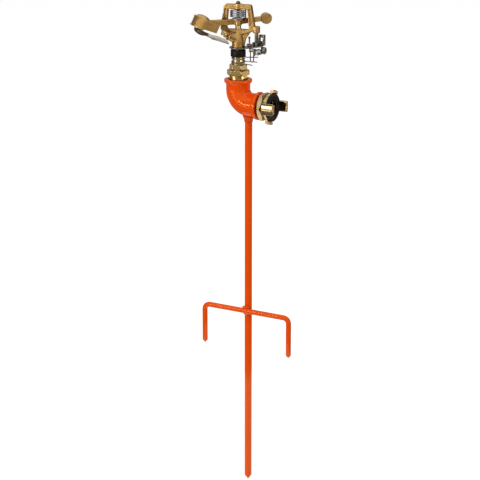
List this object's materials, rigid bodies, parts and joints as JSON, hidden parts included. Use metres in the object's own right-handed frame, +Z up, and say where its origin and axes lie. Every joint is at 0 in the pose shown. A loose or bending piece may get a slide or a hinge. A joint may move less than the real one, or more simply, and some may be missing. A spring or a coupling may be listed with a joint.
{
  "type": "impact sprinkler on a ground rod",
  "caption": "Brass impact sprinkler with a sprung drive arm and part-circle trip, on a hose-fed elbow welded to a pointed ground rod with a foot bar.",
  "frame": {"origin": "on the ground rod's axis at the ground line, which is the underside of the foot bar", "axes": "+Z up along the ground rod, +X along the hose coupling away from the elbow, +Y away from the foot bar"},
  "size_m": [0.142, 0.0841, 0.7],
  "materials": {
    "orange_paint": "glossy",
    "cast_brass": "cast and tumbled",
    "turned_brass": "machined",
    "coupling_brass": "forged and blasted",
    "grey_steel": "pressed stainless",
    "bright_steel": "bright drawn wire",
    "black_rubber": "matte",
    "white_plastic": "matte"
  },
  "bodies": {
    "stand": {"ground_rod": "orange_paint", "foot_bar": "orange_paint", "foot_weld_upper": "orange_paint", "foot_weld_lower": "orange_paint", "elbow_weld": "orange_paint", "pipe_elbow": "orange_paint", "coupling_body": "coupling_brass", "coupling_seal": "black_rubber", "reducing_bush": "turned_brass", "bearing_nipple": "turned_brass"},
    "head": {"bearing_sleeve": "turned_brass", "thrust_washer": "white_plastic", "seal_washer": "black_rubber", "spring_washer": "turned_brass", "thrust_spring": "bright_steel", "dust_sleeve": "black_rubber", "sprinkler_body": "cast_brass", "nozzle": "turned_brass", "pivot_pin": "grey_steel", "arm_washer": "white_plastic", "arm_spring": "bright_steel", "trip_bracket": "grey_steel", "trip_post": "grey_steel", "trip_pivot": "grey_steel", "spring_cap": "grey_steel", "trip_spring": "grey_steel"},
    "arm": {"impact_arm": "cast_brass", "arm_bush": "turned_brass", "jet_deflector": "grey_steel", "deflector_rivet": "grey_steel"},
    "trip": {"trip_lever": "grey_steel", "trip_wire": "grey_steel"},
    "upper_collar": {"friction_collar_upper": "grey_steel"},
    "lower_collar": {"friction_collar_lower": "grey_steel"}
  },
  "joints": [
    {"name": "head_turn", "type": "hinge", "parent": "stand", "child": "head", "pos_m": [-0.0163, 0, 0.375], "axis": [0, 0, 1], "continuous": true},
    {"name": "arm_swing", "type": "hinge", "parent": "head", "child": "arm", "pos_m": [-0.0163, 0, 0.412], "axis": [0, 0, 1], "range_deg": [0, 100], "stiffness_Nm_per_rad": 0.02, "springref_deg": -34.38},
    {"name": "trip_flip", "type": "hinge", "parent": "head", "child": "trip", "pos_m": [0.0003, 0.00414, 0.381], "axis": [0.9703, 0.2419, 0], "range_deg": [-7, 7]},
    {"name": "upper_collar_turn", "type": "hinge", "parent": "stand", "child": "upper_collar", "pos_m": [-0.0163, 0, 0.363], "axis": [0, 0, 1], "continuous": true},
    {"name": "lower_collar_turn", "type": "hinge", "parent": "stand", "child": "lower_collar", "pos_m": [-0.0163, 0, 0.358], "axis": [0, 0, 1], "continuous": true}
  ]
}
